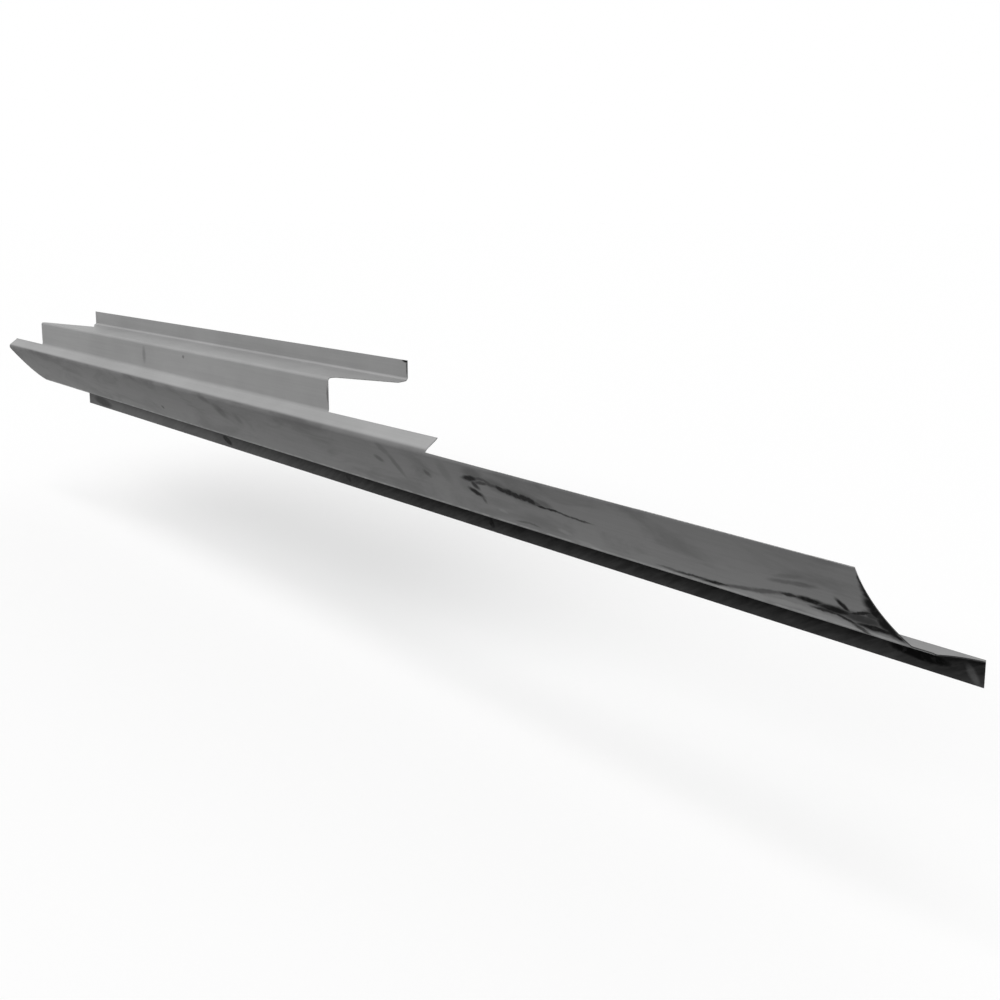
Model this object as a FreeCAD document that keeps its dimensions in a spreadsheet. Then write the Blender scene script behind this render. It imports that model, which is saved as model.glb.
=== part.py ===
import FreeCAD, Part
import math
import os
import Sketcher

# A rocker panel for the left side of a two-door car body: one steel sheet, folded along its
# length, that slips over the sill under the door opening. X runs back along the car to the rear
# wheel arch, Y runs inward to the car and Z is up. The origin is the middle of the back of the
# pinch flange, the face that is welded to the car.

# Driving dimensions, in millimetres
SIZES = {
    "sheet_thickness": 1.2,
    # The section, from the hanging pinch flange up to the top flange, on the side that shows
    "pinch_flange_height": 24.0,
    "bottom_width_front": 5.0,
    "bottom_width_rear": 18.0,
    "outer_face_height": 77.0,
    "outer_face_overhang": 53.5,
    "ledge_run": 20.5,
    "ledge_rise": 14.5,
    "riser_height": 49.0,
    "tread_width": 60.0,
    "top_flange_height": 27.5,
    # The bends, each on the side that shows
    "pinch_bend": 1.5,
    "bottom_bend": 2.5,
    "shoulder_bend": 8.0,
    "ledge_bend": 8.0,
    "tread_bend": 5.0,
    "flange_bend": 4.0,
    # The lengths, and where the upper steps start and end
    "pinch_flange_length": 1648.0,
    "front_overhang": 283.5,
    "front_radius": 102.0,
    "front_lip": 2.0,
    "riser_lead": 140.5,
    "riser_length": 983.0,
    "flange_lead": 11.5,
    "flange_length": 952.5,
    "ledge_setback": 591.5,
    "ledge_rake": 5.5,
    "ledge_trim": 0.5,
    # How far in from the riser the cut edges of the tread lie, at both ends
    "tread_front_narrow": 2.0,
    "tread_front_wide": 38.5,
    "tread_rear_wide": 10.5,
    "tread_rear_narrow": 43.0,
    "notch_radius": 8.0,
    "tread_tip_radius": 3.0,
    # How far behind the top flange's front end the snip into the tread beside it reaches
    "relief_reach": 38.5,
    # The cut for the wheel arch, and the curved edge of the bottom face behind it
    "arch_radius": 127.0,
    "arch_top_setback": 92.0,
    "arch_foot_setback": 52.0,
    "arch_foot_height": 1.5,
    "top_edge_drop": 1.2,
    "top_edge_fall": 4.5,
    "toe_setback": 38.0,
    "toe_width": 20.8,
    "toe_end_width": 3.8,
    "toe_radius": 80.0,
    # How far the cutting outlines reach past the sheet
    "cut_margin": 12.0,
}

doc = FreeCAD.newDocument("rocker_panel")
sheet = doc.addObject("Spreadsheet::Sheet", "Sizes")
for row, (alias, number) in enumerate(SIZES.items(), start=1):
    sheet.set("A%d" % row, alias)
    sheet.set("B%d" % row, str(number))
    sheet.setAlias("B%d" % row, alias)
doc.recompute()

# Heights of the bend lines and cuts, as formulas on the sheet of sizes
Z_PINCH_END = "-Sizes.pinch_flange_height / 2"
Z_BOTTOM = "Sizes.pinch_flange_height / 2"
Z_SHOULDER = Z_BOTTOM + " + Sizes.outer_face_height"
Z_LEDGE = Z_SHOULDER + " + Sizes.ledge_rise"
Z_TREAD = Z_LEDGE + " + Sizes.riser_height"
Z_TOP = Z_TREAD + " + Sizes.top_flange_height"
Z_ABOVE = Z_TOP + " + Sizes.cut_margin"
Z_BELOW = Z_PINCH_END + " - Sizes.cut_margin"
Z_FRONT_LIP = Z_BOTTOM + " - Sizes.front_lip"
Z_LEDGE_TRIM = Z_LEDGE + " + Sizes.ledge_trim"
Z_TOP_EDGE = Z_SHOULDER + " - Sizes.top_edge_drop"
Z_ARCH_TOP = Z_TOP_EDGE + " - Sizes.top_edge_fall"
Z_ARCH_FOOT = Z_BOTTOM + " + Sizes.arch_foot_height"

# Depths of the bend lines and cuts
Y_PINCH = "-Sizes.sheet_thickness"
Y_SHOULDER = Y_PINCH + " - Sizes.outer_face_overhang"
Y_RISER = Y_SHOULDER + " + Sizes.ledge_run"
Y_FLANGE = Y_RISER + " + Sizes.tread_width"
Y_FLANGE_BEND = Y_FLANGE + " - Sizes.flange_bend"
Y_OUTSIDE = Y_SHOULDER + " - Sizes.cut_margin"
Y_INSIDE = Y_FLANGE + " + Sizes.cut_margin"

# Places along the length
X_PINCH_FRONT = "-Sizes.pinch_flange_length / 2"
X_PINCH_REAR = "Sizes.pinch_flange_length / 2"
X_FRONT = X_PINCH_FRONT + " - Sizes.front_overhang"
X_BLANK_FRONT = X_FRONT + " - Sizes.cut_margin"
X_AHEAD = X_BLANK_FRONT + " - Sizes.cut_margin"
X_BEHIND = X_PINCH_REAR + " + Sizes.cut_margin"
X_RISER_FRONT = X_PINCH_FRONT + " - Sizes.riser_lead"
X_RISER_REAR = X_RISER_FRONT + " + Sizes.riser_length"
X_FLANGE_FRONT = X_PINCH_FRONT + " - Sizes.flange_lead"
X_FLANGE_REAR = X_FLANGE_FRONT + " + Sizes.flange_length"
X_RELIEF = X_FLANGE_FRONT + " + Sizes.relief_reach"
X_LEDGE_REAR = X_PINCH_REAR + " - Sizes.ledge_setback"
X_ARCH_TOP = X_PINCH_REAR + " - Sizes.arch_top_setback"
X_ARCH_FOOT = X_PINCH_REAR + " - Sizes.arch_foot_setback"
X_TOE = X_PINCH_REAR + " - Sizes.toe_setback"


def value(formula):
    """The number that a formula on the sheet of sizes comes to."""
    return float(sheet.evalExpression(formula))


def left_of(direction):
    """The unit vector to the left of a direction in a sketch."""
    side = FreeCAD.Vector(-direction.y, direction.x, 0)
    return side.normalize()


class Corner:
    """A corner of a path in a sketch: its place, its rounding, and the radius of an arc that
    leads to the next corner and bulges to the right of the way."""

    def __init__(self, across, up, rounding=None, arc=None):
        self.across = across
        self.up = up
        self.rounding = rounding
        self.arc = arc
        self.place = FreeCAD.Vector(value(across), value(up), 0)
        self.bend = None
        self.edge = None

    def find_tangent_points(self, last, following):
        """Set where the rounding of this corner starts, ends and turns."""
        self.start = self.place
        self.end = self.place
        if self.rounding:
            to_last = (last.place - self.place).normalize()
            to_following = (following.place - self.place).normalize()
            inward = (to_last + to_following).normalize()
            half_angle = to_last.getAngle(to_following) / 2
            radius = value(self.rounding)
            setback = radius / math.tan(half_angle)
            self.start = self.place + to_last * setback
            self.end = self.place + to_following * setback
            self.centre = self.place + inward * (radius / math.sin(half_angle))
            self.middle = self.centre - inward * radius

    def bend_curve(self, scale=1.0):
        """The arc that rounds this corner, or one about the same centre at another scale."""
        points = [self.start, self.middle, self.end]
        scaled = [self.centre + (point - self.centre) * scale for point in points]
        return Part.Arc(scaled[0], scaled[1], scaled[2])

    def edge_curve(self, following):
        """The line or arc from this corner to the following one."""
        if not self.arc:
            return Part.LineSegment(self.end, following.start)
        chord = following.start - self.end
        radius = value(self.arc)
        sagitta = radius - math.sqrt(radius ** 2 - (chord.Length / 2) ** 2)
        middle = self.end + chord / 2 - left_of(chord) * sagitta
        return Part.Arc(self.end, middle, following.start)


def end_at(sketch, geometry, place):
    """Which end of an edge lies at a place: 1 for its start, 2 for its end."""
    to_start = sketch.getPoint(geometry, 1).distanceToPoint(place)
    to_end = sketch.getPoint(geometry, 2).distanceToPoint(place)
    return 1 if to_start < to_end else 2


def join(sketch, kind, first, second, place):
    """Join the ends of two edges that meet at a place, coincident or tangent."""
    first_end = end_at(sketch, first, place)
    second_end = end_at(sketch, second, place)
    sketch.addConstraint(Sketcher.Constraint(kind, first, first_end, second, second_end))


def drive(sketch, constraint, name, formula):
    """Add a named dimension and bind it to a formula on the sheet of sizes."""
    index = sketch.addConstraint(constraint)
    sketch.renameConstraint(index, name)
    sketch.setExpression("Constraints." + name, formula)


def dimension_corner(sketch, geometry, point, corner, name):
    """Place a point of the sketch by its distances from the sketch's origin."""
    across = Sketcher.Constraint("DistanceX", -1, 1, geometry, point, corner.place.x)
    drive(sketch, across, name + "Across", corner.across)
    up = Sketcher.Constraint("DistanceY", -1, 1, geometry, point, corner.place.y)
    drive(sketch, up, name + "Up", corner.up)


def dimension_radius(sketch, geometry, name, formula):
    """Give an arc its radius."""
    drive(sketch, Sketcher.Constraint("Radius", geometry, value(formula)), name, formula)


def constrain_corner(sketch, corner, arriving, name):
    """Join the edges that meet at a corner and place it."""
    if corner.rounding:
        mark = sketch.addGeometry(Part.Point(corner.place), True)
        dimension_corner(sketch, mark, 1, corner, name)
        sketch.addConstraint(Sketcher.Constraint("PointOnObject", mark, 1, arriving))
        sketch.addConstraint(Sketcher.Constraint("PointOnObject", mark, 1, corner.edge))
        join(sketch, "Tangent", arriving, corner.bend, corner.start)
        join(sketch, "Tangent", corner.bend, corner.edge, corner.end)
        dimension_radius(sketch, corner.bend, name + "Bend", corner.rounding)
    elif corner.edge is None:
        dimension_corner(sketch, arriving, end_at(sketch, arriving, corner.place), corner, name)
    else:
        if arriving is not None:
            join(sketch, "Coincident", arriving, corner.edge, corner.place)
        point = end_at(sketch, corner.edge, corner.place)
        dimension_corner(sketch, corner.edge, point, corner, name)
    if corner.arc:
        dimension_radius(sketch, corner.edge, name + "Arc", corner.arc)


def draw_path(sketch, corners, closed):
    """Draw a path through its corners, with every corner placed and rounded by the sizes."""
    count = len(corners)
    for index, corner in enumerate(corners):
        corner.find_tangent_points(corners[index - 1], corners[(index + 1) % count])
    for index, corner in enumerate(corners):
        if corner.rounding:
            corner.bend = sketch.addGeometry(corner.bend_curve(), False)
        if closed or index < count - 1:
            edge = corner.edge_curve(corners[(index + 1) % count])
            corner.edge = sketch.addGeometry(edge, False)
    for index, corner in enumerate(corners):
        constrain_corner(sketch, corner, corners[index - 1].edge, "corner%d" % index)


def draw_back(sketch, corners):
    """Draw the back of a folded sheet, one thickness to the left of its front, and its ends."""
    thickness = value("Sizes.sheet_thickness")
    back_edges = []
    for corner, following in zip(corners, corners[1:]):
        step = left_of(following.start - corner.end) * thickness
        line = Part.LineSegment(corner.end + step, following.start + step)
        back_edges.append(sketch.addGeometry(line, False))

    for index, corner in enumerate(corners[1:-1], start=1):
        arriving_way = corner.place - corners[index - 1].place
        leaving_way = corners[index + 1].place - corner.place
        turns_left = left_of(arriving_way).dot(leaving_way) > 0
        sign = "-" if turns_left else "+"
        formula = "%s %s Sizes.sheet_thickness" % (corner.rounding, sign)
        curve = corner.bend_curve(value(formula) / value(corner.rounding))
        bend = sketch.addGeometry(curve, False)
        sketch.addConstraint(Sketcher.Constraint("Coincident", corner.bend, 3, bend, 3))
        arriving = back_edges[index - 1]
        leaving = back_edges[index]
        join(sketch, "Tangent", arriving, bend, sketch.getPoint(arriving, 2))
        join(sketch, "Tangent", bend, leaving, sketch.getPoint(leaving, 1))
        dimension_radius(sketch, bend, "back%dBend" % index, formula)

    close_strip(sketch, corners[0].edge, back_edges[0], 1)
    close_strip(sketch, corners[-2].edge, back_edges[-1], 2)


def close_strip(sketch, front, back, end):
    """Close one end of the sheet's section squarely between its front and its back."""
    places = [sketch.getPoint(front, end), sketch.getPoint(back, end)]
    cap = sketch.addGeometry(Part.LineSegment(places[0], places[1]), False)
    sketch.addConstraint(Sketcher.Constraint("Coincident", front, end, cap, 1))
    sketch.addConstraint(Sketcher.Constraint("Coincident", cap, 2, back, end))
    sketch.addConstraint(Sketcher.Constraint("Perpendicular", front, cap))
    sketch.addConstraint(Sketcher.Constraint("Parallel", front, back))


def new_sketch(body, name, role, offset):
    """A sketch on the body's XY, XZ or YZ plane, moved along the plane's normal by a formula."""
    planes = [plane for plane in body.Origin.OriginFeatures if plane.Role == role]
    sketch = body.newObject("Sketcher::SketchObject", name)
    sketch.AttachmentSupport = [(planes[0], "")]
    sketch.MapMode = "FlatFace"
    sketch.setExpression("AttachmentOffset.Base.z", offset)
    return sketch


def draw_section(body, name, offset, bottom_width):
    """The folded section of the sheet at one place along its length."""
    sketch = new_sketch(body, name, "YZ_Plane", offset)
    front = [
        Corner(Y_FLANGE, Z_TOP),
        Corner(Y_FLANGE, Z_TREAD, rounding="Sizes.flange_bend"),
        Corner(Y_RISER, Z_TREAD, rounding="Sizes.tread_bend"),
        Corner(Y_RISER, Z_LEDGE, rounding="Sizes.ledge_bend"),
        Corner(Y_SHOULDER, Z_SHOULDER, rounding="Sizes.shoulder_bend"),
        Corner(Y_PINCH + " - " + bottom_width, Z_BOTTOM, rounding="Sizes.bottom_bend"),
        Corner(Y_PINCH, Z_BOTTOM, rounding="Sizes.pinch_bend"),
        Corner(Y_PINCH, Z_PINCH_END),
    ]
    draw_path(sketch, front, closed=False)
    draw_back(sketch, front)
    return sketch


def fold_sheet(body):
    """Loft the folded sheet between its front and rear sections."""
    front = draw_section(body, "FrontSection", X_BLANK_FRONT, "Sizes.bottom_width_front")
    rear = draw_section(body, "RearSection", X_PINCH_REAR, "Sizes.bottom_width_rear")
    loft = body.newObject("PartDesign::AdditiveLoft", "FoldedSheet")
    loft.Profile = front
    loft.Sections = [rear]
    loft.Ruled = True
    doc.recompute()


# The least that a cut takes away, in cubic millimetres, unless it misses the sheet
LEAST_CUT = 1.0


def cut_away(body, name, role, offset, corners, upward_only=False):
    """Cut an outline out of the sheet, both ways from its plane or only upward from it."""
    before = body.Tip.Shape.Volume
    sketch = new_sketch(body, name + "Outline", role, offset)
    draw_path(sketch, corners, closed=True)
    cut = body.newObject("PartDesign::Pocket", name)
    cut.Profile = sketch
    cut.Type = "ThroughAll"
    cut.SideType = "One side" if upward_only else "Symmetric"
    cut.Reversed = upward_only
    doc.recompute()
    if cut.Shape.isNull() or before - cut.Shape.Volume < LEAST_CUT:
        raise RuntimeError(name + " cuts nothing away")


def cut_steps(body):
    """Cut the riser, tread and top flange to length, seen from above."""
    cut_away(body, "FrontSteps", "XY_Plane", Z_LEDGE_TRIM, [
        Corner(X_AHEAD, Y_OUTSIDE),
        Corner(X_RISER_FRONT, Y_OUTSIDE),
        Corner(X_RISER_FRONT, Y_RISER + " + Sizes.tread_front_narrow"),
        Corner(X_RELIEF, Y_RISER + " + Sizes.tread_front_wide"),
        Corner(X_FLANGE_FRONT, Y_FLANGE_BEND),
        Corner(X_FLANGE_FRONT, Y_INSIDE),
        Corner(X_AHEAD, Y_INSIDE),
    ], upward_only=True)
    tip_depth = Y_RISER + " + Sizes.tread_rear_narrow"
    cut_away(body, "RearSteps", "XY_Plane", Z_LEDGE_TRIM, [
        Corner(X_RISER_REAR, Y_OUTSIDE),
        Corner(X_RISER_REAR, Y_RISER + " + Sizes.tread_rear_wide", rounding="Sizes.notch_radius"),
        Corner(X_FLANGE_REAR, tip_depth, rounding="Sizes.tread_tip_radius"),
        Corner(X_FLANGE_REAR, Y_INSIDE),
        Corner(X_BEHIND, Y_INSIDE),
        Corner(X_BEHIND, Y_OUTSIDE),
    ], upward_only=True)


def cut_front_end(body):
    """Cut the rounded front end and the pinch flange's front end, seen from the side."""
    cut_away(body, "FrontEnd", "XZ_Plane", "0 mm", [
        Corner(X_AHEAD, Z_ABOVE),
        Corner(X_FRONT, Z_ABOVE),
        Corner(X_FRONT, Z_FRONT_LIP + " + Sizes.front_radius", arc="Sizes.front_radius"),
        Corner(X_FRONT + " + Sizes.front_radius", Z_FRONT_LIP),
        Corner(X_PINCH_FRONT, Z_FRONT_LIP),
        Corner(X_PINCH_FRONT, Z_BELOW),
        Corner(X_AHEAD, Z_BELOW),
    ])


def cut_wheel_arch(body):
    """Cut the ledge's rear end, the edge behind it and the wheel arch, seen from the side, and
    the edge of the bottom face behind the arch, seen from below."""
    cut_away(body, "WheelArch", "XZ_Plane", "0 mm", [
        Corner(X_LEDGE_REAR, Z_ABOVE),
        Corner(X_LEDGE_REAR, Z_LEDGE_TRIM),
        Corner(X_LEDGE_REAR + " - Sizes.ledge_rake", Z_TOP_EDGE),
        Corner(X_ARCH_TOP, Z_ARCH_TOP, arc="Sizes.arch_radius"),
        Corner(X_ARCH_FOOT, Z_ARCH_FOOT),
        Corner(X_BEHIND, Z_ARCH_FOOT),
        Corner(X_BEHIND, Z_ABOVE),
    ])
    toe_end_depth = Y_PINCH + " - Sizes.toe_end_width"
    cut_away(body, "Toe", "XY_Plane", "0 mm", [
        Corner(X_BEHIND, Y_OUTSIDE),
        Corner(X_BEHIND, toe_end_depth),
        Corner(X_PINCH_REAR, toe_end_depth, arc="Sizes.toe_radius"),
        Corner(X_TOE, Y_PINCH + " - Sizes.toe_width"),
        Corner(X_TOE, Y_OUTSIDE),
    ])


def check_document(pieces):
    """Stop if any feature failed or a piece isn't one valid solid."""
    for item in doc.Objects:
        if "Invalid" in item.State or "Error" in item.State:
            raise RuntimeError(item.Name + " failed")
    for piece in pieces:
        shape = piece.Shape
        if shape.isNull() or not shape.isValid() or len(shape.Solids) != 1:
            raise RuntimeError(piece.Label + " is not one valid solid")


rocker_panel = doc.addObject("PartDesign::Body", "rocker_panel")
rocker_panel.Label = "rocker_panel"
fold_sheet(rocker_panel)
cut_steps(rocker_panel)
cut_front_end(rocker_panel)
cut_wheel_arch(rocker_panel)
doc.recompute()

pieces = [rocker_panel]
check_document(pieces)
os.makedirs("parts", exist_ok=True)
for piece in pieces:
    piece.Shape.exportStep("parts/" + piece.Label + ".step")
    box = piece.Shape.optimalBoundingBox()
    print(piece.Label, "%.1f x %.1f x %.1f mm" % (box.XLength, box.YLength, box.ZLength))
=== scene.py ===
import math

import bmesh
import bpy
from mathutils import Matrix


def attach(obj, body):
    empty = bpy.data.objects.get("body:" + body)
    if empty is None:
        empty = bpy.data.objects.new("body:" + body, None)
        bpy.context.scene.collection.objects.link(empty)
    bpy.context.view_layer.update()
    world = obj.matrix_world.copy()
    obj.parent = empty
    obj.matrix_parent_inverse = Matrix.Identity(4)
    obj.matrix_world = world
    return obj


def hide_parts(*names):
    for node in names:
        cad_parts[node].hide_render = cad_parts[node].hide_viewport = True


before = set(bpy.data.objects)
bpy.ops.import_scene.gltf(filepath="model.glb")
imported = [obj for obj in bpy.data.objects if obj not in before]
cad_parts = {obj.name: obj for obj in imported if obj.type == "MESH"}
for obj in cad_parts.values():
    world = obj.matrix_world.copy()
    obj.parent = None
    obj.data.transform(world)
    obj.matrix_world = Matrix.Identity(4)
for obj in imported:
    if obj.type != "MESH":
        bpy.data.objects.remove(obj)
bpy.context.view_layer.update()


# The sheet: 1.2 mm cold-rolled steel, folded lengthwise on a press brake into a pinch flange, a
# narrow bottom face, the leaning outer face, the ledge, the riser, the tread and the top flange.
# It slips over the sill of the car and is welded on at both flanges.

MILLIMETRE = 0.001
SHEET_THICKNESS = 1.2

# Every fold line on the side that shows, from the bottom up: its place (y, z), its radius, and
# the segments that round it. The first and the last are the sheet's cut edges.
PINCH_EDGE = (-1.2, -12.0)
FOLDS = [
    ((-1.2, 12.0), 1.5, 4),
    ((-6.2, 12.0), 2.5, 6),
    ((-54.7, 89.0), 8.0, 8),
    ((-34.2, 103.5), 8.0, 8),
    ((-34.2, 152.5), 5.0, 8),
    ((25.8, 152.5), 4.0, 8),
]
FLANGE_EDGE = (25.8, 180.0)

# The bottom face widens to the rear by this much, at the second fold from below
BOTTOM_WIDENING = 13.0
LOWER_FOLD = 1

# The blank's ends, and the cuts that divide it: across strips between two widths, and then twice
# over along its length. An edge counts as across the sheet, or along it, by its run along X.
BLANK_FRONT = -1119.5
BLANK_REAR = 824.0
STRIP_CUTS = [(9, 70, 100), (5, 35, 69), (3, 14, 34)]
LENGTH_CUTS = (15, 15)
RUN_ACROSS = 0.1
RUN_ALONG = 2.0

# A corner of the blank this near to a fold line is on it
FOLD_TOLERANCE = 0.05


def edit_mesh():
    """The mesh that is open in edit mode."""
    return bmesh.from_edit_mesh(bpy.context.object.data)


def select_edges(test):
    """Select only the edges whose both ends pass a test on their place in millimetres."""
    bpy.ops.mesh.select_all(action="DESELECT")
    for edge in edit_mesh().edges:
        if all(test(*(corner.co / MILLIMETRE)) for corner in edge.verts):
            edge.select_set(True)


def select_faces(test):
    """Select only the faces whose middle passes a test on its place in millimetres."""
    bpy.ops.mesh.select_all(action="DESELECT")
    for face in edit_mesh().faces:
        if test(*(face.calc_center_median() / MILLIMETRE)):
            face.select_set(True)


def near(place, target):
    """Whether a place (y, z) is on a line along the sheet."""
    return math.dist(place, target) < FOLD_TOLERANCE


# The blank starts as the pinch flange, and each strip is drawn out from the edge of the last
bpy.ops.object.select_all(action="DESELECT")
bpy.ops.mesh.primitive_plane_add(size=1, rotation=(math.pi / 2, 0, 0))
panel = bpy.context.object
panel.name = "folded_panel"
bpy.ops.object.transform_apply(location=False, rotation=True, scale=False)
bpy.ops.object.mode_set(mode="EDIT")
bpy.ops.mesh.select_mode(type="EDGE")
flange_height = FOLDS[0][0][1] - PINCH_EDGE[1]
blank_length = BLANK_REAR - BLANK_FRONT
bpy.ops.transform.resize(
    value=(blank_length * MILLIMETRE, 1, flange_height * MILLIMETRE), center_override=(0, 0, 0)
)
bpy.ops.transform.translate(value=(
    (BLANK_FRONT + BLANK_REAR) / 2 * MILLIMETRE,
    PINCH_EDGE[0] * MILLIMETRE,
    (PINCH_EDGE[1] + flange_height / 2) * MILLIMETRE,
))
lines = [place for place, radius, segments in FOLDS] + [FLANGE_EDGE]
for line, next_line in zip(lines, lines[1:]):
    select_edges(lambda x, y, z: near((y, z), line))
    step = (0, (next_line[0] - line[0]) * MILLIMETRE, (next_line[1] - line[1]) * MILLIMETRE)
    bpy.ops.mesh.extrude_edges_move(TRANSFORM_OT_translate={"value": step})

# The rear end of the lower fold stands further out
bpy.ops.mesh.select_mode(type="VERT")
bpy.ops.mesh.select_all(action="DESELECT")
lower_fold = FOLDS[LOWER_FOLD][0]
for corner in edit_mesh().verts:
    x, y, z = corner.co / MILLIMETRE
    if x > 0 and near((y, z), lower_fold):
        corner.select_set(True)
edit_mesh().select_flush(True)
bpy.ops.transform.translate(value=(0, -BOTTOM_WIDENING * MILLIMETRE, 0))
bpy.ops.mesh.select_mode(type="EDGE")


def fold_offset(index):
    """How far back from a fold line its rounding starts, in millimetres."""
    path = [PINCH_EDGE] + lines
    before, here, after = path[index], path[index + 1], path[index + 2]
    arriving = math.atan2(here[1] - before[1], here[0] - before[0])
    leaving = math.atan2(after[1] - here[1], after[0] - here[0])
    turn = abs(math.remainder(leaving - arriving, 2 * math.pi))
    return FOLDS[index][1] * math.tan(turn / 2)


def on_fold(index, x, y, z):
    """Whether a place lies on a fold line of the blank."""
    fold_y, fold_z = FOLDS[index][0]
    if index == LOWER_FOLD and x > 0:
        fold_y = fold_y - BOTTOM_WIDENING
    return near((y, z), (fold_y, fold_z))


for index, (place, radius, segments) in enumerate(FOLDS):
    select_edges(lambda x, y, z: on_fold(index, x, y, z))
    bpy.ops.mesh.bevel(
        offset_type="OFFSET", offset=fold_offset(index) * MILLIMETRE, segments=segments,
        affect="EDGES", profile=0.5,
    )

# The wide strips are divided across, and then the whole blank along its length
for count, shortest, longest in STRIP_CUTS:
    bpy.ops.mesh.select_all(action="DESELECT")
    for edge in edit_mesh().edges:
        first, second = (corner.co / MILLIMETRE for corner in edge.verts)
        run = abs(first.x - second.x)
        if run < RUN_ACROSS and shortest < (first - second).length < longest:
            edge.select_set(True)
    bpy.ops.mesh.subdivide(number_cuts=count)
for count in LENGTH_CUTS:
    bpy.ops.mesh.select_all(action="DESELECT")
    for edge in edit_mesh().edges:
        first, second = (corner.co / MILLIMETRE for corner in edge.verts)
        if abs(first.x - second.x) > RUN_ALONG:
            edge.select_set(True)
    bpy.ops.mesh.subdivide(number_cuts=count)


# The outline: the blank is sheared to its end shapes, as seen from the side and from above.
# All of it is in millimetres.

FRONT_END = -1107.5
FRONT_RADIUS = 102.0
LIP_HEIGHT = 10.0
PINCH_FRONT = -824.0
STEP_HEIGHT = 104.0
FRONT_STEP_EDGE = [(-964.5, -32.2), (-797.0, 4.3)]
FLANGE_FRONT = (-835.5, 21.8)
REAR_STEP_EDGE = [(18.5, -23.7), (117.0, 8.8)]
NOTCH_RADIUS = 8.0
TIP_RADIUS = 3.0
LEDGE_END = [(232.5, 104.0), (227.0, 87.8)]
ARCH_TOP = (732.0, 83.3)
ARCH_FOOT = (772.0, 13.5)
ARCH_RADIUS = 127.0
TOE_EDGE = [(786.0, -22.0), (824.0, -5.0)]
TOE_RADIUS = 80.0

# The raked cut at the ledge's end is kept to the faces this near its foot, along it and down
RAKE_REACH = 20.0
RAKE_DROP = 10.0

# The straight pieces that each arc is drawn with
FRONT_STEPS = 24
CORNER_STEPS = 6
ARCH_STEPS = 20
TOE_STEPS = 10

# A cut this near to a corner goes through it, and corners this near to each other are merged
CUT_TOLERANCE = 0.001
WELD_DISTANCE = 0.02


def arc_between(start, end, radius, bulge, count):
    """Points from a start to an end on an arc that bulges to its left, at +1, or right, at -1."""
    half = math.dist(start, end) / 2
    middle = ((start[0] + end[0]) / 2, (start[1] + end[1]) / 2)
    along = ((end[0] - start[0]) / half / 2, (end[1] - start[1]) / half / 2)
    left = (-along[1] * bulge, along[0] * bulge)
    depth = math.sqrt(radius ** 2 - half ** 2)
    half_turn = math.asin(half / radius)
    points = []
    for step in range(count + 1):
        turn = half_turn * (2 * step / count - 1)
        across = radius * math.sin(turn)
        rise = radius * math.cos(turn) - depth
        points.append((
            middle[0] + along[0] * across + left[0] * rise,
            middle[1] + along[1] * across + left[1] * rise,
        ))
    return points


def shear(point, normal, where, remove=True):
    """Cut the faces at a place with a plane, and take away the side that its normal points to."""
    length = math.hypot(*normal)
    select_faces(where)
    bpy.ops.mesh.bisect(
        plane_co=[number * MILLIMETRE for number in point],
        plane_no=[number / length for number in normal], threshold=CUT_TOLERANCE * MILLIMETRE,
    )

    def is_beyond(*place):
        return where(*place) and sum(
            (here - there) * way for here, there, way in zip(place, point, normal)
        ) > 0

    if remove:
        select_faces(is_beyond)
        bpy.ops.mesh.delete(type="FACE")


def shear_along(chain, seen_from_above, keep_greater, where):
    """Cut the faces at a place along a chain of points (x, z), or (x, y) seen from above."""
    for x, across in chain:
        shear((x, 0, 0), (1, 0, 0), where, remove=False)
    for (x0, a0), (x1, a1) in zip(chain, chain[1:]):
        normal = (a1 - a0, x0 - x1) if keep_greater else (a0 - a1, x1 - x0)
        if seen_from_above:
            point, plane_normal = (x0, a0, 0), (normal[0], normal[1], 0)
        else:
            point, plane_normal = (x0, 0, a0), (normal[0], 0, normal[1])
        shear(point, plane_normal, lambda x, y, z: x0 < x < x1 and where(x, y, z))


def everywhere(x, y, z):
    """Every face."""
    return True


def above_ledge(x, y, z):
    """The faces of the riser, the tread and the top flange."""
    return z > STEP_HEIGHT


# The rounded front end, and the front end of the pinch flange
bpy.ops.mesh.select_mode(type="FACE")
front_arc = arc_between(
    (FRONT_END, LIP_HEIGHT + FRONT_RADIUS), (FRONT_END + FRONT_RADIUS, LIP_HEIGHT),
    FRONT_RADIUS, -1, FRONT_STEPS,
)
shear((FRONT_END, 0, 0), (-1, 0, 0), everywhere)
shear_along(front_arc + [(PINCH_FRONT, LIP_HEIGHT)], False, True, everywhere)

# The ends of the riser, the tread and the top flange
shear((0, 0, STEP_HEIGHT), (0, 0, 1), everywhere, remove=False)
shear((FRONT_STEP_EDGE[0][0], 0, 0), (-1, 0, 0), above_ledge)


def depth_at(x, start, end):
    """How deep a line seen from above lies at a place along the panel."""
    return start[1] + (x - start[0]) * (end[1] - start[1]) / (end[0] - start[0])


def in_snip(x, y, z):
    """The faces of the snip into the tread beside the front end of the top flange."""
    return (
        above_ledge(x, y, z) and FLANGE_FRONT[0] < x < snip_tip[0]
        and depth_at(x, *FRONT_STEP_EDGE) < y < depth_at(x, snip_tip, FLANGE_FRONT)
    )


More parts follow.
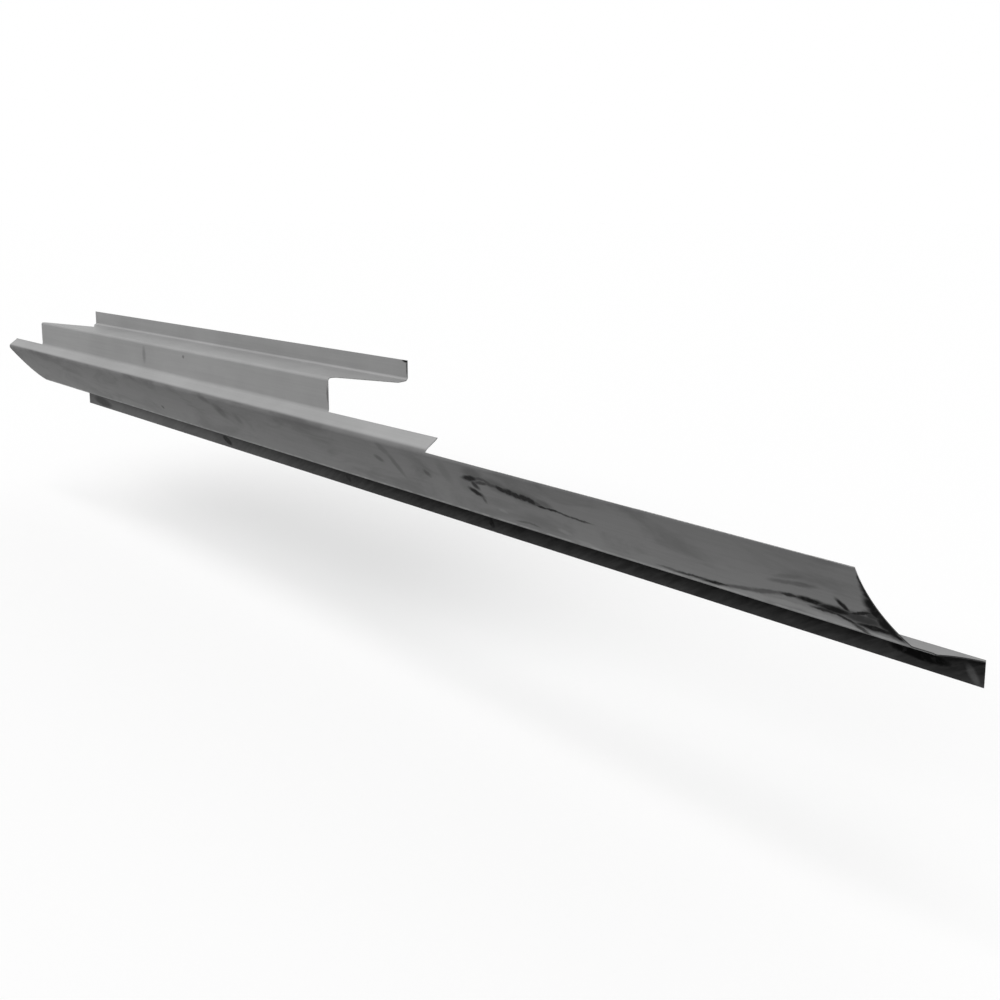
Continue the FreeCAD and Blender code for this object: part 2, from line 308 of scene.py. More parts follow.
snip_tip = FRONT_STEP_EDGE[1]
beside_flange = (FLANGE_FRONT[0], depth_at(FLANGE_FRONT[0], *FRONT_STEP_EDGE))
shear_along([FRONT_STEP_EDGE[0], beside_flange], True, False, above_ledge)
shear((snip_tip[0], 0, 0), (1, 0, 0), above_ledge, remove=False)
for corner in (beside_flange, FLANGE_FRONT):
    shear(
        (corner[0], corner[1], 0), (corner[1] - snip_tip[1], snip_tip[0] - corner[0], 0),
        lambda x, y, z: above_ledge(x, y, z) and corner[0] < x < snip_tip[0], remove=False,
    )
select_faces(in_snip)
bpy.ops.mesh.delete(type="FACE")
rake = math.atan2(
    REAR_STEP_EDGE[1][1] - REAR_STEP_EDGE[0][1], REAR_STEP_EDGE[1][0] - REAR_STEP_EDGE[0][0]
)
turn = math.pi / 2 - rake
notch_reach = NOTCH_RADIUS * math.tan(turn / 2)
tip_reach = TIP_RADIUS * math.tan(turn / 2)
along_rake = (math.cos(rake), math.sin(rake))
notch, tip = REAR_STEP_EDGE
notch_arc = arc_between(
    (notch[0], notch[1] - notch_reach),
    (notch[0] + along_rake[0] * notch_reach, notch[1] + along_rake[1] * notch_reach),
    NOTCH_RADIUS, 1, CORNER_STEPS,
)
tip_arc = arc_between(
    (tip[0] - along_rake[0] * tip_reach, tip[1] - along_rake[1] * tip_reach),
    (tip[0], tip[1] + tip_reach), TIP_RADIUS, -1, CORNER_STEPS,
)
shear_along(notch_arc + tip_arc, True, True, above_ledge)
shear((tip[0], 0, 0), (1, 0, 0), above_ledge)

# The raked rear end of the ledge, the top edge behind it, and the wheel arch
rake_top, rake_foot = LEDGE_END
rake_normal = (rake_top[1] - rake_foot[1], 0, rake_foot[0] - rake_top[0])
shear(
    (rake_foot[0], 0, rake_foot[1]), rake_normal,
    lambda x, y, z: z > rake_foot[1] - RAKE_DROP and abs(x - rake_foot[0]) < RAKE_REACH,
    remove=False,
)


def behind_ledge(x, y, z):
    """The faces behind the raked end of the ledge."""
    return (x - rake_foot[0]) * rake_normal[0] + (z - rake_foot[1]) * rake_normal[2] > 0


arch = arc_between(ARCH_TOP, ARCH_FOOT, ARCH_RADIUS, -1, ARCH_STEPS)
shear_along([rake_foot] + arch, False, False, behind_ledge)
shear((0, 0, ARCH_FOOT[1]), (0, 0, 1), lambda x, y, z: x > ARCH_FOOT[0])

# The curved edge of the bottom face behind the arch
toe = arc_between(TOE_EDGE[0], TOE_EDGE[1], TOE_RADIUS, 1, TOE_STEPS)
shear_along(toe, True, True, lambda x, y, z: x > ARCH_FOOT[0])

bpy.ops.mesh.select_all(action="SELECT")
bpy.ops.mesh.remove_doubles(threshold=WELD_DISTANCE * MILLIMETRE)
bpy.ops.mesh.delete_loose()
bpy.ops.object.mode_set(mode="OBJECT")


# The hand-worked sheet: it isn't dead flat after the brake, and it has its thickness. What shows,
# the inside and the sheared edges are the same bare steel, each with its own finish.

WAVE_LENGTH = 240
WAVE_HEIGHT = 0.7
FINISH_COUNT = 3
INSIDE_SLOT = 1
SHEARED_SLOT = 2
SMOOTH_ANGLE = 30

waves = bpy.data.textures.new("slow_waves", "CLOUDS")
waves.noise_scale = WAVE_LENGTH * MILLIMETRE
bpy.ops.object.modifier_add(type="DISPLACE")
ripple = panel.modifiers[-1]
ripple.texture = waves
ripple.texture_coords = "LOCAL"
ripple.strength = WAVE_HEIGHT * MILLIMETRE
bpy.ops.object.modifier_apply(modifier=ripple.name)

# Three finishes: the side that shows, the inside, and the sheared edges
for finish in range(FINISH_COUNT):
    bpy.ops.object.material_slot_add()
bpy.ops.object.modifier_add(type="SOLIDIFY")
thicken = panel.modifiers[-1]
thicken.thickness = SHEET_THICKNESS * MILLIMETRE
thicken.offset = -1
thicken.use_even_offset = True
thicken.material_offset = INSIDE_SLOT
thicken.material_offset_rim = SHEARED_SLOT
bpy.ops.object.modifier_apply(modifier=thicken.name)


def hex_colour(code):
    """A colour written as sRGB hex, as the linear values that a shader reads."""
    channels = [int(code[place:place + 2], 16) / 255 for place in (0, 2, 4)]
    return [
        channel / 12.92 if channel <= 0.04045 else ((channel + 0.055) / 1.055) ** 2.4
        for channel in channels
    ] + [1]


def new_material(name):
    """An empty node material."""
    material = bpy.data.materials.new(name)
    material.use_nodes = True
    material.node_tree.nodes.clear()
    return material


def add_node(material, kind, settings=(), links=()):
    """Add a node to a material: its settings by name, and its inputs, as values or sockets."""
    tree = material.node_tree
    node = tree.nodes.new(kind)
    for name, setting in dict(settings).items():
        setattr(node, name, setting)
    for name, source in dict(links).items():
        if isinstance(source, bpy.types.NodeSocket):
            tree.links.new(source, node.inputs[name])
        else:
            node.inputs[name].default_value = source
    return node


def ramp(material, value, start, end, low=0, high=1):
    """A share that goes from one level to another between two places in millimetres."""
    return add_node(material, "ShaderNodeMapRange", links={
        "Value": value, "From Min": start * MILLIMETRE, "From Max": end * MILLIMETRE,
        "To Min": low, "To Max": high})


# Rolled sheet, on both sides. The mill's real grain is finer than GRAIN_SIZE, and is drawn as
# coarse as it needs to show.
STEEL_METALLIC = 0.25
STEEL_SPECULAR = 0.04
STEEL_ROUGHNESS = 0.46
ROUGHNESS_SPREAD = 0.08
CLOUD_SIZE = 150
ROLL_LINE_WIDTH = 3.0
ROLL_LINE_STRETCH = 60
ROLL_LINE_SHARES = (0.97, 1.03)
GRAIN_SIZE = 1.6
GRAIN_HEIGHT = 0.1


def rolled_sheet(material, grey, pale):
    """The nodes of a rolled sheet: cloudy grey with faint lines along the way it was rolled."""
    coordinates = add_node(material, "ShaderNodeTexCoord").outputs["Object"]
    clouds = add_node(material, "ShaderNodeTexNoise", links={
        "Vector": coordinates, "Scale": 1000 / CLOUD_SIZE, "Detail": 5, "Roughness": 0.6})
    cloudiness = add_node(material, "ShaderNodeMapRange", links={
        "Value": clouds.outputs["Fac"], "From Min": 0.35, "From Max": 0.65})
    clean_steel = add_node(material, "ShaderNodeMixRGB", links={
        "Fac": cloudiness.outputs[0], "Color1": hex_colour(grey), "Color2": hex_colour(pale)})
    along_sheet = add_node(material, "ShaderNodeMapping", links={
        "Vector": coordinates, "Scale": (1 / ROLL_LINE_STRETCH, 1, 1)})
    roll_lines = add_node(material, "ShaderNodeTexNoise", links={
        "Vector": along_sheet.outputs[0], "Scale": 1000 / ROLL_LINE_WIDTH, "Detail": 2})
    line_shade = add_node(material, "ShaderNodeMapRange", links={
        "Value": roll_lines.outputs["Fac"], "From Min": 0.3, "From Max": 0.7,
        "To Min": ROLL_LINE_SHARES[0], "To Max": ROLL_LINE_SHARES[1]})
    colour = add_node(material, "ShaderNodeMixRGB", {"blend_type": "MULTIPLY"}, {
        "Fac": 1, "Color1": clean_steel.outputs[0], "Color2": line_shade.outputs[0]})
    roughness = add_node(material, "ShaderNodeMapRange", links={
        "Value": clouds.outputs["Fac"], "To Min": STEEL_ROUGHNESS - ROUGHNESS_SPREAD,
        "To Max": STEEL_ROUGHNESS + ROUGHNESS_SPREAD})
    grain = add_node(material, "ShaderNodeTexNoise", links={
        "Vector": coordinates, "Scale": 1000 / GRAIN_SIZE, "Detail": 2})
    bump = add_node(material, "ShaderNodeBump", links={
        "Strength": 0.2, "Distance": GRAIN_HEIGHT * MILLIMETRE, "Height": grain.outputs["Fac"]})
    return coordinates, colour, roughness, bump


# Cold-rolled steel sheet, matt grey: it reads as a soft, slightly cloudy grey, with faint lines
# along the way it was rolled. It came from the brake oily, with black smears by the wheel arch.
# Painted on it are a dark reflection down the arch edge, shade under the shoulder and on the pinch
# flange, and highlights on the lower fold and the ledge.
STEEL_GREY = "959595"
STEEL_PALE = "9E9E9E"
# Grey of the painted shade on the outer face, and of its smudges
SHADE_AND_SMUDGE_GREY = "3C3C3C"
# Pale steel: the painted highlights on the lower fold and the ledge, and the wiped places
HIGHLIGHT_AND_WORN_STEEL = "C0C0C0"
# Near black: the smears, the painted dark reflection by the arch, the painted shade of the pinch
# flange and the sheared edge from the arch back
SMEAR_AND_SHADE_BLACK = "040404"

steel = new_material("cold_rolled_steel")
coordinates, colour, roughness, bump = rolled_sheet(steel, STEEL_GREY, STEEL_PALE)
place = add_node(steel, "ShaderNodeSeparateXYZ", links={"Vector": coordinates})

# Painted shade on the outer face, darkest under the shoulder and towards the front, with
# smudges where it was held
SHADE_BOTTOM = 12
SHADE_TOP = 90
SHADE_END = 93
SHADE_LENGTH = 900
SHADE_SHARES = (0.16, 0.42)
SHADE_FRONT = 1.4
SHADE_REAR = 0.7
SMUDGE_SIZE = 45
SMUDGE_STRETCH = 2.5
SMUDGE_SHADE = 0.22
shade_rise = ramp(steel, place.outputs["Z"], SHADE_BOTTOM, SHADE_TOP, *SHADE_SHARES)
shade_top_cutoff = ramp(steel, place.outputs["Z"], SHADE_TOP, SHADE_END, 1, 0)
shade_along = ramp(
    steel, place.outputs["X"], -SHADE_LENGTH, SHADE_LENGTH, SHADE_FRONT, SHADE_REAR)
drawn_out_place = add_node(steel, "ShaderNodeMapping", links={
    "Vector": coordinates, "Scale": (1 / SMUDGE_STRETCH, 1, 1)})
smudges = add_node(steel, "ShaderNodeTexNoise", links={
    "Vector": drawn_out_place.outputs[0], "Scale": 1000 / SMUDGE_SIZE, "Detail": 4,
    "Roughness": 0.6, "Distortion": 0.8})
smudge_shade = add_node(steel, "ShaderNodeMapRange", {"interpolation_type": "SMOOTHSTEP"}, {
    "Value": smudges.outputs["Fac"], "From Min": 0.42, "From Max": 0.7,
    "To Max": SMUDGE_SHADE})
shade_and_smudges = add_node(steel, "ShaderNodeMath", {"operation": "MULTIPLY_ADD"}, {
    0: shade_rise.outputs[0], 1: shade_along.outputs[0], 2: smudge_shade.outputs[0]})
shade_and_smudges = add_node(steel, "ShaderNodeMath", {"operation": "MULTIPLY"}, {
    0: shade_and_smudges.outputs[0], 1: shade_top_cutoff.outputs[0]})
shaded_smudged_steel = add_node(steel, "ShaderNodeMixRGB", links={
    "Fac": shade_and_smudges.outputs[0], "Color1": colour.outputs[0], "Color2": hex_colour(SHADE_AND_SMUDGE_GREY)})

# The lower fold gets a thin broken line of painted highlight, and the ledge a faint painted
# highlight
LIP_HEIGHTS = (13.0, 14.4, 16.6)
BREAKUP_LENGTH = 12
BREAKUP_SHARES = (0.1, 0.7)
LEDGE_HEIGHTS = (89, 93, 102, 106)
LEDGE_HIGHLIGHT = 0.08
lip_start = ramp(steel, place.outputs["Z"], LIP_HEIGHTS[0], LIP_HEIGHTS[1])
lip_end = ramp(steel, place.outputs["Z"], LIP_HEIGHTS[1], LIP_HEIGHTS[2], 1, 0)
lip = add_node(steel, "ShaderNodeMath", {"operation": "MINIMUM"}, {
    0: lip_start.outputs[0], 1: lip_end.outputs[0]})
highlight_breakup_noise = add_node(steel, "ShaderNodeTexNoise", links={
    "Vector": coordinates, "Scale": 1000 / BREAKUP_LENGTH, "Detail": 3})
highlight_breakup = add_node(steel, "ShaderNodeMapRange", links={
    "Value": highlight_breakup_noise.outputs["Fac"], "From Min": 0.35, "From Max": 0.6,
    "To Min": BREAKUP_SHARES[0], "To Max": BREAKUP_SHARES[1]})
painted_highlight = add_node(steel, "ShaderNodeMath", {"operation": "MULTIPLY"}, {
    0: lip.outputs[0], 1: highlight_breakup.outputs[0]})
ledge_start = ramp(
    steel, place.outputs["Z"], LEDGE_HEIGHTS[0], LEDGE_HEIGHTS[1], 0, LEDGE_HIGHLIGHT)
ledge_end = ramp(steel, place.outputs["Z"], LEDGE_HEIGHTS[2], LEDGE_HEIGHTS[3], LEDGE_HIGHLIGHT, 0)
ledge_highlight = add_node(steel, "ShaderNodeMath", {"operation": "MINIMUM"}, {
    0: ledge_start.outputs[0], 1: ledge_end.outputs[0]})
painted_highlight = add_node(steel, "ShaderNodeMath", {"operation": "MAXIMUM"}, {
    0: painted_highlight.outputs[0], 1: ledge_highlight.outputs[0]})
highlighted_steel = add_node(steel, "ShaderNodeMixRGB", links={
    "Fac": painted_highlight.outputs[0], "Color1": shaded_smudged_steel.outputs[0],
    "Color2": hex_colour(HIGHLIGHT_AND_WORN_STEEL)})

# Places that were wiped bright, in the same form as the smears below: between the streaks and
# the lower fold, and at the rear corner of the pinch flange
WIPED_PLACES = [
    ([(605, 16), (650, 19), (684, 21)], 4.5, 0.3),
    ([(686, 19), (722, 17)], 4.5, 0.4),
    ([(742, 15), (766, 13)], 2.5, 0.5),
    ([(413, 27), (422, 25)], 4.0, 0.2),
    ([(438, 18), (456, 16)], 4.0, 0.22),
    ([(327, 30), (334, 29)], 3.0, 0.2),
    ([(813, 1), (818, -8)], 4.5, 0.1),
]

# The smears, and a painted dark reflection along the arch edge, each a line of places (x, z)
# along the panel as seen from the side, with its half width and its darkness
SMEARS_AND_REFLECTION = [
    # The blot ahead of the arch, and the long streak that was wiped back from it
    ([(285, 65), (301, 68)], 6.4, 1.0),
    ([(303, 69), (316, 70), (325, 65)], 3.8, 0.65),
    ([(302, 63), (318, 65)], 3.8, 0.75),
    ([(296, 61), (301, 56)], 6.6, 0.85),
    ([(289, 50), (302, 45)], 5.8, 1.0),
    ([(304, 43), (306, 37)], 3.6, 0.55),
    ([(292, 75), (308, 75)], 11.0, 0.35),
    ([(279, 57), (286, 54)], 15.0, 0.15),
    ([(324, 67), (346, 63), (392, 57)], 12.0, 0.35),
    ([(320, 65), (335, 64)], 4.4, 0.7),
    ([(334, 64), (347, 61)], 6.0, 0.97),
    ([(345, 62), (356, 61), (368, 58)], 7.4, 0.97),
    ([(366, 59), (377, 59), (386, 56)], 7.2, 0.97),
    ([(384, 57), (393, 55)], 5.4, 0.7),
    ([(393, 60), (406, 57)], 7.0, 0.4),
    ([(390, 53), (403, 53), (417, 53)], 2.6, 0.95),
    ([(415, 53), (433, 50), (455, 49)], 2.2, 0.75),
    ([(352, 21), (366, 23), (378, 22)], 2.2, 0.4),
    # Fainter smudges further forward
    ([(249, 73), (254, 58)], 12.0, 0.15),
    ([(140, 80), (150, 72)], 8.0, 0.25),
    ([(154, 66), (165, 46)], 7.0, 0.32),
    ([(124, 60), (132, 57)], 6.0, 0.4),
    ([(214, 58), (219, 54)], 5.5, 0.4),
    ([(-295, 84), (-277, 80)], 8.0, 0.35),
    ([(-258, 70), (-244, 62)], 15.0, 0.4),
    ([(-208, 62), (-202, 55)], 10.0, 0.25),
    ([(-471, 36), (-467, 36)], 5.0, 0.6),
    # The streak along the lower fold, which widens into the dark band round the arch
    ([(538, 19), (554, 19)], 2.2, 0.45),
    ([(556, 18), (585, 19)], 2.6, 0.8),
    ([(586, 18), (608, 19)], 3.2, 1.0),
    ([(611, 20), (634, 24), (661, 30)], 4.0, 0.55),
    ([(664, 31), (678, 32)], 3.2, 0.9),
    ([(680, 32), (698, 32)], 4.8, 1.0),
    ([(700, 30), (722, 30)], 6.2, 1.0),
    ([(715, 41), (722, 34)], 3.4, 1.0),
    ([(694, 26), (712, 26), (727, 21)], 3.2, 0.9),
    ([(728, 19), (736, 15)], 3.0, 1.0),
    ([(722, 29), (746, 28)], 8.6, 0.82),
    ([(724, 31), (742, 38)], 2.6, 0.95),
    ([(739, 36), (745, 34)], 7.0, 0.8),
    ([(732, 22), (757, 22)], 4.8, 1.0),
    # A painted dark reflection: the wedge-shaped band down the arch edge
    ([(735, 76), (738, 64)], 3.4, 1.0),
    ([(738, 65), (743, 51)], 6.2, 1.0),
    ([(741, 52), (744, 44)], 9.0, 1.0),
    ([(744, 45), (749, 36)], 10.5, 1.0),
    ([(749, 36), (756, 26)], 10.5, 1.0),
    ([(755, 27), (760, 21)], 7.0, 1.0),
    ([(759, 22), (765, 18)], 3.6, 1.0),
    ([(658, 44), (675, 47), (691, 49)], 3.6, 0.35),
    ([(664, 51), (680, 55)], 3.6, 0.22),
    # Marks on the riser, and at the rear end of the top flange
    ([(-510, 137), (-510, 121)], 9.0, 0.3),
    ([(-374, 140), (-371, 140)], 4.0, 0.5),
    ([(17, 134), (18, 120)], 3.5, 0.5),
    ([(109, 180), (117, 178)], 3.4, 1.0),
    ([(116, 175), (117, 162)], 2.4, 0.8),
    # Darker patches on the pinch flange, over its painted shade
    ([(-795, 2), (-730, -4)], 16.0, 0.85),
    ([(-310, 4), (-287, -5)], 10.0, 0.95),
    ([(14, 4), (24, -4)], 10.0, 0.92),
    ([(287, 5), (296, -6)], 10.0, 0.98),
    ([(748, 3), (800, -1)], 14.0, 1.0),
]
SMEAR_OVERLAP = 2.1
SMEAR_CORE = 0.7
RAGGEDNESS = 4
RAGGED_SIZE = 7
DRY_SPOT_SIZE = 4
DRY_SPOT_COVER = 0.95
ANY_DEPTH = 10000


def lay_strokes(material, place_socket, rows):
    """The cover of strokes with soft edges, each a line of places (x, z), a half width and how dark
    or bright it is."""
    cover = add_node(material, "ShaderNodeValue")
    cover.outputs[0].default_value = 0
    for points, half_width, strength in rows:
        for (x0, z0), (x1, z1) in zip(points, points[1:]):
            half_length = math.hypot(x1 - x0, z1 - z0) / 2 * SMEAR_OVERLAP + half_width / 2
            stroke_place = add_node(material, "ShaderNodeMapping", {"vector_type": "TEXTURE"}, {
                "Vector": place_socket,
                "Location": ((x0 + x1) / 2 * MILLIMETRE, 0, (z0 + z1) / 2 * MILLIMETRE),
                "Rotation": (0, -math.atan2(z1 - z0, x1 - x0), 0),
                "Scale": (
                    half_length * MILLIMETRE, ANY_DEPTH * MILLIMETRE, half_width * MILLIMETRE)})
            nearness = add_node(
                material, "ShaderNodeTexGradient", {"gradient_type": "SPHERICAL"},
                {"Vector": stroke_place.outputs[0]})
            stroke = add_node(
                material, "ShaderNodeMapRange", {"interpolation_type": "SMOOTHSTEP"},
                {"Value": nearness.outputs["Fac"], "From Max": SMEAR_CORE,
                 "To Max": strength})
            cover = add_node(material, "ShaderNodeMath", {"operation": "MAXIMUM"}, {
                0: cover.outputs[0], 1: stroke.outputs[0]})
    return cover


ragged_noise = add_node(steel, "ShaderNodeTexNoise", links={
    "Vector": coordinates, "Scale": 1000 / RAGGED_SIZE, "Detail": 4, "Roughness": 0.65})
ragged_shift = add_node(steel, "ShaderNodeVectorMath", {"operation": "MULTIPLY_ADD"}, {
    0: ragged_noise.outputs["Color"],
    1: [RAGGEDNESS * MILLIMETRE] * 3,
    2: [-RAGGEDNESS * MILLIMETRE / 2] * 3})
ragged_place = add_node(steel, "ShaderNodeVectorMath", {"operation": "ADD"}, {
    0: coordinates, 1: ragged_shift.outputs[0]})
wiped_bright = lay_strokes(steel, ragged_place.outputs[0], WIPED_PLACES)
smear_and_reflection_cover = lay_strokes(steel, ragged_place.outputs[0], SMEARS_AND_REFLECTION)
dry_spots = add_node(steel, "ShaderNodeTexNoise", links={
    "Vector": coordinates, "Scale": 1000 / DRY_SPOT_SIZE, "Detail": 3})
coverage = add_node(steel, "ShaderNodeMapRange", links={
    "Value": dry_spots.outputs["Fac"], "From Min": 0.35, "From Max": 0.5,
    "To Min": DRY_SPOT_COVER})
smear_and_reflection_cover = add_node(steel, "ShaderNodeMath", {"operation": "MULTIPLY"}, {
    0: smear_and_reflection_cover.outputs[0], 1: coverage.outputs[0]})

# The pinch flange is painted in shade from the fold down, darkest at the top and to the rear, and
# streaked aslant where it was rubbed
FLANGE_START = (13, 11.5)
FLANGE_SHADE_FRONT = -700
FLANGE_SHADE_REAR = 250
FLANGE_SHADE_SHARES = (0.6, 1)
SHADE_FALLOFF_HEIGHTS = (11, -12)
SHADE_FALLOFF_LEAST = 0.84
STREAK_WIDTH = 5
STREAK_RISE = 32
STREAK_STRETCH = 5
STREAK_SHARES = (1.03, 0.94)
is_flange = ramp(steel, place.outputs["Z"], *FLANGE_START)
rearward_shade = add_node(steel, "ShaderNodeMapRange", {"interpolation_type": "SMOOTHSTEP"}, {
    "Value": place.outputs["X"], "From Min": FLANGE_SHADE_FRONT * MILLIMETRE,
    "From Max": FLANGE_SHADE_REAR * MILLIMETRE, "To Min": FLANGE_SHADE_SHARES[0], "To Max": FLANGE_SHADE_SHARES[1]})
shade_falloff = ramp(steel, place.outputs["Z"], *SHADE_FALLOFF_HEIGHTS, 1, SHADE_FALLOFF_LEAST)
streak_place = add_node(steel, "ShaderNodeMapping", {"vector_type": "TEXTURE"}, {
    "Vector": coordinates, "Rotation": (0, -math.radians(STREAK_RISE), 0),
    "Scale": (STREAK_STRETCH, 1, 1)})
streaks = add_node(steel, "ShaderNodeTexNoise", links={
    "Vector": streak_place.outputs[0], "Scale": 1000 / STREAK_WIDTH, "Detail": 4,
    "Roughness": 0.65})
streakiness = add_node(steel, "ShaderNodeMapRange", links={
    "Value": streaks.outputs["Fac"], "From Min": 0.35, "From Max": 0.65,
    "To Min": STREAK_SHARES[0], "To Max": STREAK_SHARES[1]})
# Painted shade on the pinch flange, mixed with the smears below
flange_painted_shade = is_flange
for share in (rearward_shade, shade_falloff, streakiness):
    flange_painted_shade = add_node(steel, "ShaderNodeMath", {"operation": "MULTIPLY"}, {
        0: flange_painted_shade.outputs[0], 1: share.outputs[0]})
smears_and_shade = add_node(steel, "ShaderNodeMath", {"operation": "MAXIMUM", "use_clamp": True}, {
    0: smear_and_reflection_cover.outputs[0], 1: flange_painted_shade.outputs[0]})
smeared_and_shaded_steel = add_node(steel, "ShaderNodeMixRGB", links={
    "Fac": smears_and_shade.outputs[0], "Color1": highlighted_steel.outputs[0], "Color2": hex_colour(SMEAR_AND_SHADE_BLACK)})
worn_steel = add_node(steel, "ShaderNodeMixRGB", links={
    "Fac": wiped_bright.outputs[0], "Color1": smeared_and_shaded_steel.outputs[0],
    "Color2": hex_colour(HIGHLIGHT_AND_WORN_STEEL)})
shader = add_node(steel, "ShaderNodeBsdfPrincipled", links={
    "Base Color": worn_steel.outputs[0], "Metallic": STEEL_METALLIC,
    "Roughness": roughness.outputs[0], "Specular IOR Level": STEEL_SPECULAR,
    "Normal": bump.outputs[0]})
add_node(steel, "ShaderNodeOutputMaterial", links={"Surface": shader.outputs[0]})

# The inside of the same sheet, which no hand has wiped: an even mill finish without grime, with
# a few dull blooms where the oil dried
INSIDE_GREY = "8A8A8A"
INSIDE_PALE = "9E9E9E"
DRIED_OIL = "6E6C68"
BLOOM_SIZE = 45
BLOOM_SHADE = 0.25
inside = new_material("cold_rolled_steel_inside")
coordinates, colour, roughness, bump = rolled_sheet(inside, INSIDE_GREY, INSIDE_PALE)
blooms = add_node(inside, "ShaderNodeTexNoise", links={
    "Vector": coordinates, "Scale": 1000 / BLOOM_SIZE, "Detail": 4, "Roughness": 0.6})
blooming = add_node(inside, "ShaderNodeMapRange", {"interpolation_type": "SMOOTHSTEP"}, {
    "Value": blooms.outputs["Fac"], "From Min": 0.52, "From Max": 0.7,
    "To Max": BLOOM_SHADE})
bloomed_steel = add_node(inside, "ShaderNodeMixRGB", links={
    "Fac": blooming.outputs[0], "Color1": colour.outputs[0], "Color2": hex_colour(DRIED_OIL)})
shader = add_node(inside, "ShaderNodeBsdfPrincipled", links={
    "Base Color": bloomed_steel.outputs[0], "Metallic": STEEL_METALLIC,
    "Roughness": roughness.outputs[0], "Specular IOR Level": STEEL_SPECULAR,
    "Normal": bump.outputs[0]})
add_node(inside, "ShaderNodeOutputMaterial", links={"Surface": shader.outputs[0]})

# The sheared edges: bright torn metal with fine lines across, near black from the arch back
SHEARED_DARK = "5E5E5E"
SHEARED_BRIGHT = "A6A6A6"
SHEARED_METALLIC = 0.4
SHEARED_ROUGHNESS = 0.4
SHEAR_LINE_SIZE = 1.5
SHEAR_LINE_DEPTH = 0.1
ARCH_DARK_START = (728, 738)
ARCH_DARKNESS = 0.9
cut = new_material("sheared_steel_edge")
coordinates = add_node(cut, "ShaderNodeTexCoord").outputs["Object"]
place = add_node(cut, "ShaderNodeSeparateXYZ", links={"Vector": coordinates})
tear_lines = add_node(cut, "ShaderNodeTexNoise", links={
    "Vector": coordinates, "Scale": 1000 / SHEAR_LINE_SIZE, "Detail": 3, "Roughness": 0.7})
tearing = add_node(cut, "ShaderNodeMapRange", links={
    "Value": tear_lines.outputs["Fac"], "From Min": 0.35, "From Max": 0.65})
torn_steel = add_node(cut, "ShaderNodeMixRGB", links={
    "Fac": tearing.outputs[0], "Color1": hex_colour(SHEARED_DARK),
    "Color2": hex_colour(SHEARED_BRIGHT)})
at_arch = ramp(cut, place.outputs["X"], *ARCH_DARK_START, 0, ARCH_DARKNESS)
edge_steel = add_node(cut, "ShaderNodeMixRGB", links={
    "Fac": at_arch.outputs[0], "Color1": torn_steel.outputs[0], "Color2": hex_colour(SMEAR_AND_SHADE_BLACK)})
edge_bump = add_node(cut, "ShaderNodeBump", links={
    "Strength": 0.4, "Distance": SHEAR_LINE_DEPTH * MILLIMETRE,
    "Height": tear_lines.outputs["Fac"]})
shader = add_node(cut, "ShaderNodeBsdfPrincipled", links={
    "Base Color": edge_steel.outputs[0], "Metallic": SHEARED_METALLIC,
    "Roughness": SHEARED_ROUGHNESS, "Normal": edge_bump.outputs[0]})
add_node(cut, "ShaderNodeOutputMaterial", links={"Surface": shader.outputs[0]})

for finish, material in zip(panel.material_slots, (steel, inside, cut)):
    finish.material = material

bpy.ops.object.shade_smooth_by_angle(angle=math.radians(SMOOTH_ANGLE))
bpy.ops.object.modifier_add(type="WEIGHTED_NORMAL")
panel.modifiers[-1].keep_sharp = True
bpy.ops.object.modifier_apply(modifier=panel.modifiers[-1].name)

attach(panel, "root")
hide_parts("rocker_panel")


# The stage: a wide pale floor below the panel, which hangs as it does on a car, a pale sky and
# one soft lamp high in front. The camera stands where the photograph was taken.

FLOOR_HEIGHT = -0.25
FLOOR_SIZE = 400
FLOOR_WHITE = "FFFFFF"
FLOOR_GREY = "6A6A6A"
SKY_WHITE = "FFFFFF"
SKY_STRENGTH = 0.45
LAMP_STRENGTH = 2.1
LAMP_WIDTH = 60
LAMP_TURN = (35, 0, -10)
CAMERA_PLACE = (0.91075, -0.7362, 0.372)
CAMERA_TURN = (83.652, 0, 39.456)
CAMERA_LENS = 28.8
CAMERA_SHIFT = -0.19

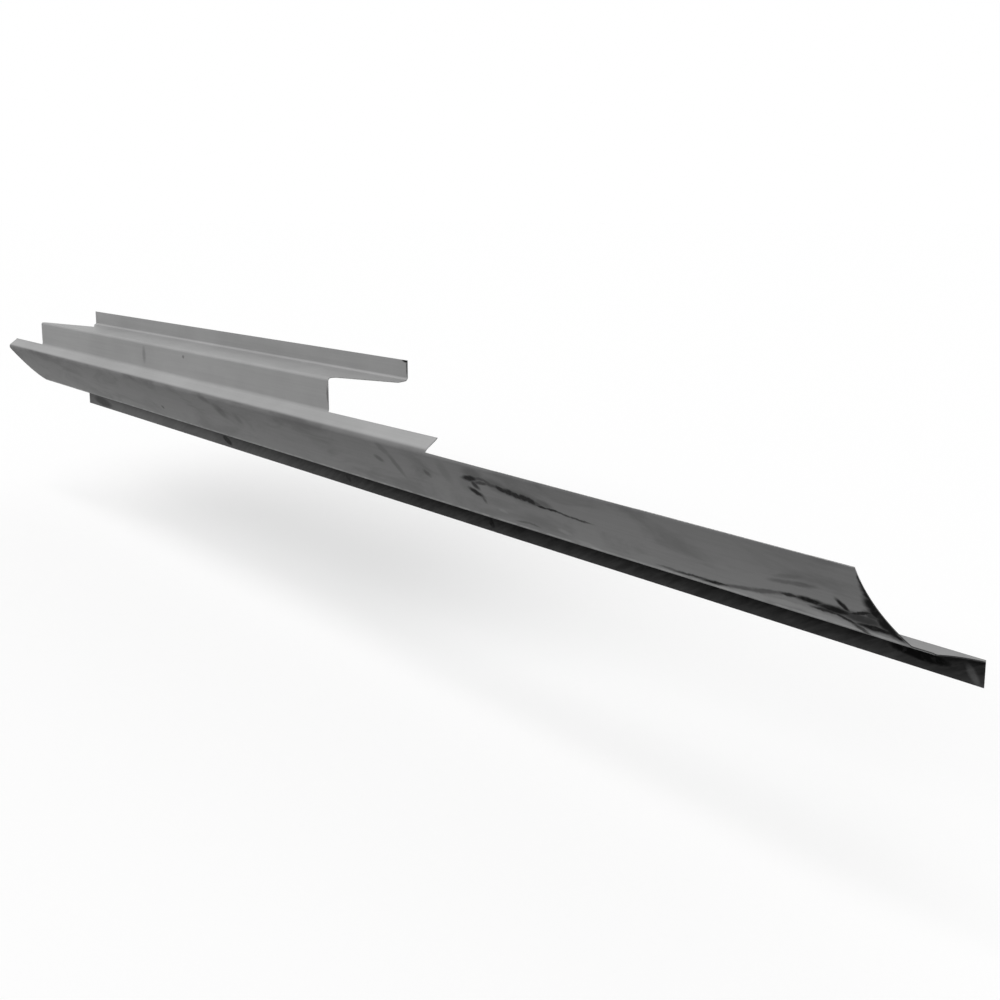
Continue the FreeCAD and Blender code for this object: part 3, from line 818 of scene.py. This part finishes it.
bpy.ops.mesh.primitive_plane_add(size=FLOOR_SIZE, location=(0, 0, FLOOR_HEIGHT))
floor = bpy.context.object
floor.name = "floor"


def whether_seen(material):
    """Whether the stage is looked at, by the camera or in a reflection, and isn't lighting."""
    rays = add_node(material, "ShaderNodeLightPath")
    seen = add_node(material, "ShaderNodeMath", {"operation": "MAXIMUM"}, {
        0: rays.outputs["Is Camera Ray"], 1: rays.outputs["Is Glossy Ray"]})
    return add_node(material, "ShaderNodeMath", {"operation": "MAXIMUM"}, {
        0: seen.outputs[0], 1: rays.outputs["Is Transmission Ray"]})


# Backdrop paper: the camera and reflections see it white, and it throws little light back
paper = new_material("backdrop_paper")
seen = whether_seen(paper)
paper_colour = add_node(paper, "ShaderNodeMixRGB", links={
    "Fac": seen.outputs[0], "Color1": hex_colour(FLOOR_GREY), "Color2": hex_colour(FLOOR_WHITE)})
shader = add_node(paper, "ShaderNodeBsdfDiffuse", links={"Color": paper_colour.outputs[0]})
add_node(paper, "ShaderNodeOutputMaterial", links={"Surface": shader.outputs[0]})
floor.data.materials.append(paper)

world = bpy.data.worlds.new("pale_studio")
bpy.context.scene.world = world
world.use_nodes = True
world.node_tree.nodes.clear()
seen = whether_seen(world)
sky = add_node(world, "ShaderNodeMapRange", links={
    "Value": seen.outputs[0], "To Min": SKY_STRENGTH, "To Max": 1})
background = add_node(world, "ShaderNodeBackground", links={
    "Color": hex_colour(SKY_WHITE), "Strength": sky.outputs[0]})
add_node(world, "ShaderNodeOutputWorld", links={"Surface": background.outputs[0]})

bpy.ops.object.light_add(type="SUN", rotation=[math.radians(turn) for turn in LAMP_TURN])
lamp = bpy.context.object
lamp.name = "soft_lamp"
lamp.data.energy = LAMP_STRENGTH
lamp.data.angle = math.radians(LAMP_WIDTH)

bpy.ops.object.camera_add(
    location=CAMERA_PLACE, rotation=[math.radians(turn) for turn in CAMERA_TURN]
)
camera = bpy.context.object
camera.name = "camera"
camera.data.lens = CAMERA_LENS
camera.data.shift_y = CAMERA_SHIFT
bpy.context.scene.camera = camera
bpy.context.scene.view_settings.view_transform = "Standard"
